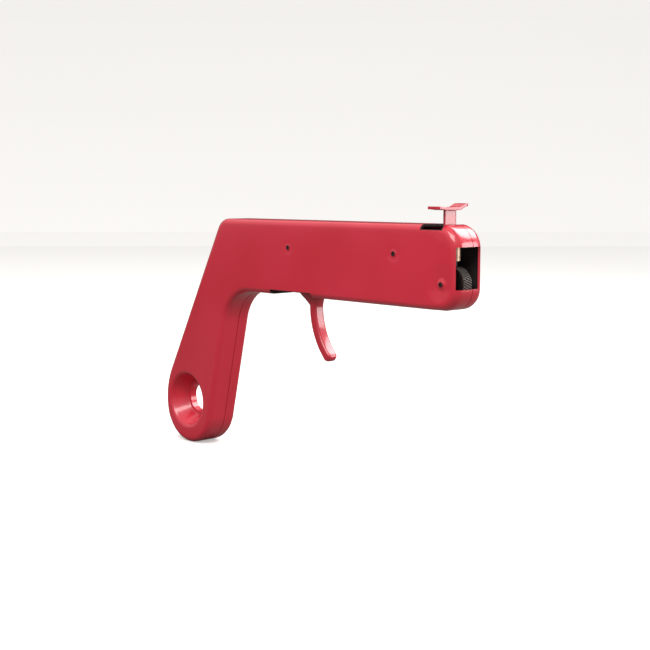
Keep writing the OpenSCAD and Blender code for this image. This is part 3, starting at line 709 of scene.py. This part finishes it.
def pressed_half(name, node, seam, flip):
    """One half of the body. seam is where its rim ends, measured across from the middle, and flip
    is 1 for the right side and -1 for the left one, which is its mirror image."""
    radius = fold_radius(spots)[:, None]
    flat = half_w - radius
    open_turn = np.arcsin((radius - sheet) / radius)
    slot_turn = np.arccos(1 - SLOT_DEEP / radius)
    turns = np.concatenate([
        open_turn * np.array([0, 0.34, 0.67, 1]),
        open_turn + (slot_turn - open_turn) * np.array([0.34, 0.67, 1]),
        slot_turn + (pi / 2 - slot_turn) * np.array([0.34, 0.67, 1]),
    ], 1)
    rim = -seam + (flat + seam) * np.array([0, 0.5])
    wide = np.concatenate([rim, flat + radius * np.sin(turns)], 1)
    inset = np.concatenate([np.zeros_like(rim), radius * (1 - np.cos(turns))], 1)
    plan = spots[:, None] - inset[..., None] * outs[:, None]
    drawn = hollow(plan[..., 0], plan[..., 1]) * (inset / radius) ** 2
    skin = np.stack([plan[..., 0], drawn - wide, plan[..., 1]], -1)
    open_row, slot_row = 5, 8
    n, m = skin.shape[:2]
    i, j = (g.ravel() for g in np.meshgrid(np.arange(n), np.arange(m - 1), indexing="ij"))
    k = (i + 1) % n
    x = (spots[i, 0] + spots[k, 0]) / 2
    z = (spots[i, 1] + spots[k, 1]) / 2
    cut = (outs[i, 0] > 0.9) & (z > MUZZLE[0]) & (z < MUZZLE[1]) & (j < open_row)
    cut |= (outs[i, 1] > 0.9) & (x > TOP_SLOT[0]) & (x < TOP_SLOT[1]) & (j < slot_row)
    cut |= (outs[i, 1] < -0.9) & (x > LOW_SLOT[0]) & (x < LOW_SLOT[1]) & (j < slot_row)
    quads = np.stack([i * m + j, i * m + j + 1, k * m + j + 1, k * m + j], 1)[~cut].tolist()
    vertices = [skin.reshape(-1, 3)]

    loop = plan[:, -1]
    around = np.arange(AROUND) / AROUND * 2 * pi
    ray = np.stack([np.cos(around), np.sin(around)], 1)
    rings = [(axle, r) for r in np.arange(1.2, 9.5, 0.5)]
    rings += [(at, r) for at in (pivot, lever_pin) for r in (1.2, 1.7, 2.3, 2.9, 3.6)]
    net = np.stack(np.meshgrid(np.arange(-20, nose_x, 3.0), np.arange(foot_z, top_z, 3.0)), -1)
    extra = np.concatenate([net.reshape(-1, 2)] + [at + r * ray[::4] for at, r in rings])
    gap = np.min(np.hypot(*(extra[:, None] - loop[None]).transpose(2, 0, 1)), 1)
    extra = extra[inside(extra, loop) & (gap > 0.7) & (np.hypot(*extra.T) > DISH_R + 0.8)]
    plan_points = np.concatenate([loop, DISH_R * ray, extra])
    edges = [(a, (a + 1) % n) for a in range(n)]
    edges += [(n + a, n + (a + 1) % AROUND) for a in range(AROUND)]
    net_points, _, tris, _, _, _ = delaunay_2d_cdt(
        [Vector(p) for p in plan_points], edges, [], 0, 1e-5)
    net_points, tris = np.array([tuple(p) for p in net_points]), np.array(tris)
    middle = net_points[tris].mean(1)
    tris = tris[inside(middle, loop) & (np.hypot(*middle.T) > DISH_R * 0.999)]
    face = np.stack([net_points[:, 0], hollow(*net_points.T) - half_w, net_points[:, 1]], 1)
    tris = (tris + n * m).tolist()
    vertices.append(face)

    floor_y = half_w + seam - sheet
    wall = rounded([(DISH_R, 0), (DISH_R - DISH_LIP, 0), (DISH_FLOOR_R, floor_y),
                    (DISH_HOLE_R, floor_y)], DISH_BENDS, 9)
    bowl = np.stack([wall[:, None, 0] * ray[None, :, 0],
                     np.repeat(wall[:, 1:] - half_w, AROUND, 1),
                     wall[:, None, 0] * ray[None, :, 1]], -1)
    p, q = (g.ravel() for g in np.meshgrid(np.arange(len(wall) - 1), np.arange(AROUND),
                                           indexing="ij"))
    first = n * m + len(face)
    r = (q + 1) % AROUND
    here, after = p * AROUND + first, (p + 1) * AROUND + first
    ring = np.stack([here + q, here + r, after + r, after + q], 1)
    vertices.append(bowl.reshape(-1, 3))

    data = bpy.data.meshes.new(name)
    points = np.concatenate(vertices) * MM * [1, flip, 1]
    data.from_pydata(points.tolist(), [], quads + tris + ring.tolist())
    work = bmesh.new()
    work.from_mesh(data)
    bmesh.ops.remove_doubles(work, verts=work.verts, dist=0.004 * MM)
    bmesh.ops.recalc_face_normals(work, faces=work.faces)
    if sum(f.normal.y * f.calc_area() for f in work.faces) * flip > 0:
        bmesh.ops.reverse_faces(work, faces=work.faces)
    loose = [v for v in work.verts if not v.link_faces]
    bmesh.ops.delete(work, geom=loose, context="VERTS")
    work.to_mesh(data)
    work.free()
    made = bpy.data.objects.new(name, data)
    bpy.context.scene.collection.objects.link(made)
    thick = made.modifiers.new("sheet", "SOLIDIFY")
    thick.thickness = sheet * MM
    thick.offset = -1
    thick.use_even_offset = True
    burr = made.modifiers.new("broken_edges", "BEVEL")
    burr.width = 0.1 * MM
    burr.harden_normals = True
    burr.segments = 2
    burr.limit_method = "ANGLE"
    burr.angle_limit = radians(60)
    smooth(made, 50)
    made.data.materials.append(body_enamel)
    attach(made, "housing")
    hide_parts(node)
    print(name, len(data.polygons), "faces")
    return made


pressed_half("right_half", "right_shell", seam_right, 1)
pressed_half("left_half", "left_shell", -seam_left, -1)

# %% [markdown]
# ## Turned, bent and wound pieces
# What is left is made the way the shop makes it. A turned piece is a profile carried round an
# axis. A bent strip is a flat blank carried along its bends. A spring is a wire carried along a
# helix, with both legs drawn out straight. Blender's curves could do it too, but an array keeps
# the same point order each time, which the closing of the ends relies on.

# %% Helpers for turned and wound pieces
def finish_piece(piece, finish, body, slot_name, *replaced):
    """Gives a piece its finish, its body if one is given, and hides the nodes it stands for.
    slot_name is not used."""
    piece.data.materials.append(finish)
    if body:
        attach(piece, body)
    if replaced:
        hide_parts(*replaced)
    return piece


def turned(name, profile, at, steps=96, closed=True):
    """A profile of (radius, y) points carried round the y axis through at."""
    around = np.arange(steps) / steps * 2 * pi
    profile = np.array(profile, float)
    r, y = profile[:, 0][:, None], profile[:, 1][:, None]
    points = np.stack([at[0] + r * np.cos(around), y + 0 * around, at[1] + r * np.sin(around)], -1)
    return outwards(grid_mesh(name, points * MM, wrap_u=closed, wrap_v=True), 35)


def wire(name, path, radius, sides=14):
    """A round wire: a circle carried along a path. Each ring stands square to the path, and is
    turned as little as it can be from the ring before."""
    path = np.array(path, float)
    ways = np.gradient(path, axis=0)
    ways /= np.linalg.norm(ways, axis=1)[:, None]
    normals = [np.cross(ways[0], [0.3, 0.5, 0.8])]
    for way in ways[1:]:
        normals.append(normals[-1] - way * (normals[-1] @ way))
    normals = np.array([v / np.linalg.norm(v) for v in normals])
    others = np.cross(ways, normals)
    a = np.arange(sides) / sides * 2 * pi
    points = (path[:, None] + radius * (np.cos(a)[:, None] * normals[:, None]
                                        + np.sin(a)[:, None] * others[:, None]))
    return outwards(grid_mesh(name, points * MM, wrap_v=True, cap=True), 60)


def torsion_spring(name, at, coil_r, wire_r, start_y, pitch, turns, first, last, leg_a, leg_b):
    """A helix from angle first to angle last, with turns whole turns between, and a straight leg
    at each end. leg_a leads in and leg_b leads out, each a list of points with rounded bends."""
    whole = turns * 360 + (last - first) % 360
    a = np.radians(first + np.linspace(0, whole, int(whole / 6)))
    rise = pitch * np.linspace(0, whole, len(a)) / 360
    helix = np.stack([at[0] + coil_r * np.cos(a), start_y + rise, at[1] + coil_r * np.sin(a)], 1)
    lead_in = rounded([*leg_a, helix[0]], [1.0] * (len(leg_a) - 1))[:-1]
    lead_out = rounded([helix[-1], *leg_b], [1.0] * (len(leg_b) - 1))[1:]
    return wire(name, np.concatenate([lead_in, helix, lead_out]), wire_r)


# %% [markdown]
# ## The two springs
# Each is a torsion spring of music wire round a pin. One leg rests on the body and the other on
# the piece it returns, so the coil twists as that piece turns. The imported ones are close rings,
# good enough to weigh. A wound helix shows the pitch.

# %% The trigger's spring
WIRE_R, COIL_R = 0.35, 3.0
spring_low, _ = box_mm("trigger_spring")
first_y = spring_low[1] + WIRE_R
heel = (pivot[0] - 5.3, pivot[1] - 12)
trigger_spring = torsion_spring(
    "trigger_spring_wire", pivot, COIL_R, WIRE_R, first_y, 0.72, 3, 140, 215,
    [(pivot[0] - 10, first_y, top_z - sheet - 0.4)],
    [(heel[0], spring_low[1] + 2.6, heel[1]), (heel[0], 0, heel[1])])
finish_piece(trigger_spring, wire_steel, None, "spring_steel", "trigger_spring")
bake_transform(trigger_spring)
print("trigger spring: coil of", 2 * COIL_R, "mm")

# %% The flint lever's spring
WIRE_R, COIL_R = 0.3, 2.7
_, spring_high = box_mm("lever_spring")
first_y = spring_high[1] - WIRE_R
hold = (lever_pin[0] + 9, lever_pin[1] + 5.9)
lever_spring = torsion_spring(
    "lever_spring_wire", lever_pin, COIL_R, WIRE_R, first_y, -0.62, 2, 240, 60,
    [(lever_pin[0] + 1.1, first_y, bot_z + 4.4)],
    [(hold[0], spring_high[1] - 1.9, hold[1]), (hold[0], 1, hold[1])])
finish_piece(lever_spring, wire_steel, None, "spring_steel", "lever_spring")
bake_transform(lever_spring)
print("flint lever spring: coil of", 2 * COIL_R, "mm")

# %% [markdown]
# ## The spark wheel
# The wheel is hardened steel, cut like a file in two directions, so that small pyramids tear the
# flint. A bump in the material would do from afar, but the wheel sits in the open muzzle and its
# edge shows against the dark, so the teeth are real. The radius is a function of the angle and of
# the place across the wheel.

# %% The spark wheel
wheel_low, wheel_high = box_mm("spark_wheel")
wheel_r = (wheel_high[0] - wheel_low[0]) / 2
wheel_half = wheel_high[1]
BORE_R, CHAMFER = 1.55, 0.35


def cross_cut(rows=17, per_tooth=6, teeth=40, deep=0.42, slant=1.1):
    """The wheel's face: its radius falls by a saw wave that leans one way, and again by a shallower
    one that leans the other, so that the cuts cross and leave small pyramids. Chamfered rims and
    flat sides down to the bore close it."""
    a = np.arange(teeth * per_tooth) / (teeth * per_tooth) * 2 * pi
    y = np.linspace(-wheel_half + 0.25, wheel_half - 0.25, rows)[:, None]
    lean = slant * y / wheel_half
    cut = (a * teeth / (2 * pi) + lean) % 1
    second = np.abs((a * teeth / (2 * pi) - lean) % 1 - 0.5) * 2
    face = wheel_r - deep * (0.7 * cut + 0.3 * second) * 0.96
    bore, rim = BORE_R, wheel_r - deep - CHAMFER
    radii = np.concatenate([np.full((1, len(a)), bore), np.full((1, len(a)), rim), face,
                            np.full((1, len(a)), rim), np.full((1, len(a)), bore)])
    wide = np.concatenate([[[-wheel_half]], [[-wheel_half]], y, [[wheel_half]], [[wheel_half]]])
    return np.stack([axle[0] + radii * np.cos(a), wide + 0 * a, axle[1] + radii * np.sin(a)], -1)


wheel = outwards(grid_mesh("cross_cut_wheel", cross_cut() * MM, wrap_u=True, wrap_v=True), 25)
finish_piece(wheel, file_cut, "wheel", "hard_steel", "spark_wheel")
print("wheel radius", round(wheel_r, 2), "mm")

# %% [markdown]
# ## The trigger
# The trigger is a thick lever dipped in the same red. Its neck comes out of the slot and narrows
# into a blade that is hollow in front, for the finger. It could be an extruded outline with a
# bevel, but a real one is rounder at the tip. So a line of points down its back and one down its
# front settle the shape, and a section like a rounded box is carried between the two.

# %% The trigger
_, trigger_high = box_mm("trigger_blade")
trigger_half = trigger_high[1]
FINGER_R, BLADE_T, BLADE_END = 28, 3.9, 224
finger_c = np.array([pivot[0] + 39.2, bot_z - 3.7])


def through(points, count):
    """A smooth curve through points: cubic between each pair, with the slope at a point set by
    its neighbours."""
    points = np.array(points, float)
    padded = np.concatenate([2 * points[:1] - points[1:2], points, 2 * points[-1:] - points[-2:-1]])
    at = np.linspace(0, len(points) - 1 - 1e-9, count)
    k = at.astype(int)
    t = (at - k)[:, None]
    a, b, c, d = (padded[k + s] for s in range(4))
    return 0.5 * (2 * b + (c - a) * t + (2 * a - 5 * b + 4 * c - d) * t ** 2
                  + (3 * b - a - 3 * c + d) * t ** 3)


def lever_blade(name, edge_r=1.0, ring=40):
    """Back and front edges first. The section at each station is a box with rounded corners: a
    circle of edge_r, pushed out to the sides. At the tip the half thickness falls as a circle
    does, which rounds the end."""
    back = [pivot + [-4.9, 0], pivot + [-4.6, -8], pivot + [-3.0, -15], pivot + [0.8, -19.1],
            pivot + [4.6, -21.8], finger_c + [-FINGER_R - BLADE_T, 0]]
    front = [pivot + [4.9, 0], pivot + [9.4, -8], pivot + [11.9, -15.2], pivot + [12.3, -19.4],
             pivot + [11.7, -22], finger_c + [-FINGER_R, 0]]
    turn = np.radians(np.linspace(180, BLADE_END, 26)[1:])[:, None]
    ray = np.concatenate([np.cos(turn), np.sin(turn)], 1)
    backs = np.concatenate([through(back, 30), finger_c + (FINGER_R + BLADE_T) * ray])
    fronts = np.concatenate([through(front, 30), finger_c + FINGER_R * ray])
    middle, half = (backs + fronts) / 2, (fronts - backs) / 2
    tip = np.sin(np.linspace(0, pi / 2, 9)[1:])[:, None]
    way = np.array([-ray[-1][1], ray[-1][0]])
    middle = np.concatenate([middle, middle[-1] + BLADE_T / 2 * tip * way])
    half = np.concatenate([half, half[-1] * np.sqrt(np.clip(1 - tip ** 2, 1e-4, 1))])
    thick = np.linalg.norm(half, axis=1)
    narrow = np.concatenate([np.zeros(len(middle) - 8), (1 - np.sqrt(1 - tip[:, 0] ** 2)) * 0.6])
    corner = np.minimum(edge_r, thick)[:, None]
    a = (np.arange(ring) + 0.5) / ring * 2 * pi
    across = np.sign(np.cos(a)) * (thick[:, None] - corner) + corner * np.cos(a)
    half_wide = trigger_half * (1 - narrow[:, None])
    aside = np.sign(np.sin(a)) * (half_wide - corner) + corner * np.sin(a)
    plan = middle[:, None] + across[..., None] * (half / thick[:, None])[:, None]
    points = np.stack([plan[..., 0], aside, plan[..., 1]], -1)
    return outwards(grid_mesh(name, points * MM, wrap_v=True, cap=True), 40)


finish_piece(lever_blade("trigger_lever"), dip_enamel, "trigger", "red_enamel", "trigger_blade")
hub = rounded([(2.45, -2.5), (5.4, -2.5), (5.4, 2.5), (2.45, 2.5)], [0.6, 0.6])
finish_piece(turned("trigger_hub", hub, pivot), dip_enamel, "trigger", "red_enamel")
print("trigger", round(2 * trigger_half, 1), "mm wide")

# %% [markdown]
# ## The lifting handle
# A strip of sheet stands up through the top slot and ends in a small plate, by which a finger
# lifts the lever to change the flint. One wing of the plate is bent up. Two flat grids would meet
# at a crease, so the strip is carried round its bend, and the plate rises by a smooth step.

# %% The lifting handle
def sheet_piece(name, points, thick, edge):
    """A thin plate from a grid of points on its middle surface: its thickness, then soft edges."""
    made = grid_mesh(name, points * MM)
    body = made.modifiers.new("sheet", "SOLIDIFY")
    body.thickness = thick * MM
    body.offset = 0
    rim = made.modifiers.new("broken_edges", "BEVEL")
    rim.width = edge * MM
    rim.segments = 3
    rim.limit_method = "ANGLE"
    rim.angle_limit = radians(60)
    smooth(made, 50)
    return made


tee_low, tee_high = box_mm("tee_strip")
STRIP_T, STRIP_HALF = 1.05, 3.1
upright_x = tee_high[0] - 2.6 + STRIP_T / 2
plate_z = tee_high[2] - 1.5 - STRIP_T / 2 - 0.1


def bent_strip(name):
    """Foot and upright: a straight section carried along the bend between them."""
    path = rounded([(tee_low[0] + 0.1, tee_low[2] + 0.5), (upright_x, tee_low[2] + 0.5),
                    (upright_x, plate_z)], [1.0], 8)
    y = np.linspace(-STRIP_HALF, STRIP_HALF, 9)
    points = np.stack([path[:, :1] + 0 * y, y + 0 * path[:, :1], path[:, 1:] + 0 * y], -1)
    return sheet_piece(name, points, STRIP_T, 0.2)


def finger_plate(name):
    """The plate on top. Its half depth falls near both ends as a circle's does, and each wing
    rises by a smooth step: the far one by 1.4 mm, the near one hardly."""
    wing = tee_high[1] - 0.1
    v = np.linspace(-1, 1, 61)
    y = wing * np.sign(v) * np.abs(v) ** 0.8
    middle, half, corner = tee_high[0] - 2.95, 2.85, 1.6
    near_end = np.clip((np.abs(y) - (wing - corner)) / corner, 0, 1)
    depth = half - corner * (1 - np.sqrt(np.clip(1 - near_end ** 2, 0, 1)))
    u = np.linspace(-1, 1, 17)[:, None]
    x = middle + u * depth
    share = np.clip((np.abs(y) - STRIP_HALF) / (wing - 1.4 - STRIP_HALF), 0, 1)
    lift = np.where(y > 0, 1.4, 0.35) * share ** 2 * (3 - 2 * share)
    points = np.stack([x, y + 0 * u, plate_z + lift + 0 * u], -1)
    return sheet_piece(name, points, STRIP_T, 0.3)


finish_piece(bent_strip("lifting_strip"), dip_enamel, "flint_arm", "red_enamel", "tee_strip")
finish_piece(finger_plate("finger_plate"), dip_enamel, "flint_arm", "red_enamel")
print("plate", round(tee_high[1] - tee_low[1], 1), "mm wide")
